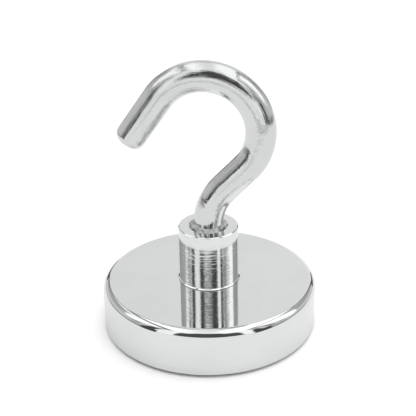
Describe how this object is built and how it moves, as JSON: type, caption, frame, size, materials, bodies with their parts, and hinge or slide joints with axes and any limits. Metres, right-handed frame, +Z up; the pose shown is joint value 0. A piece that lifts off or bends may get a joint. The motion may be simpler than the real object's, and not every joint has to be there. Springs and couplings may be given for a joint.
{
  "type": "magnetic hook",
  "caption": "Pot magnet with an upright threaded neck and a bent round rod hook that turns in it. The flat face below pulls onto steel.",
  "frame": {"origin": "centre of the cup's rim, on the side that pulls, on the axis that the hook turns about", "axes": "+Z up along the neck to the hook, +X across the loop away from the hook's open tip, +Y through the loop"},
  "size_m": [0.036, 0.036, 0.0459],
  "materials": {
    "bright_nickel": "bright nickel plating on turned steel, mirror polished",
    "neck_nickel": "bright nickel plating over fine turning marks",
    "hook_nickel": "bright nickel plating on bent steel rod, slightly drawn along its length",
    "magnet_nickel": "satin nickel plating on a ground magnet disc",
    "glue": "cured adhesive",
    "potting": "black epoxy, self-levelled"
  },
  "bodies": {
    "base": {"steel_cup": "bright_nickel", "threaded_neck": "neck_nickel", "magnet_disc": "magnet_nickel", "magnet_bond": "glue", "epoxy_ring": "potting"},
    "hook": {"hook": "hook_nickel"}
  },
  "joints": [
    {"name": "hook_turn", "type": "hinge", "parent": "base", "child": "hook", "pos_m": [0, 0, 0.0177], "axis": [0, 0, 1], "range_deg": [-180, 180]}
  ]
}
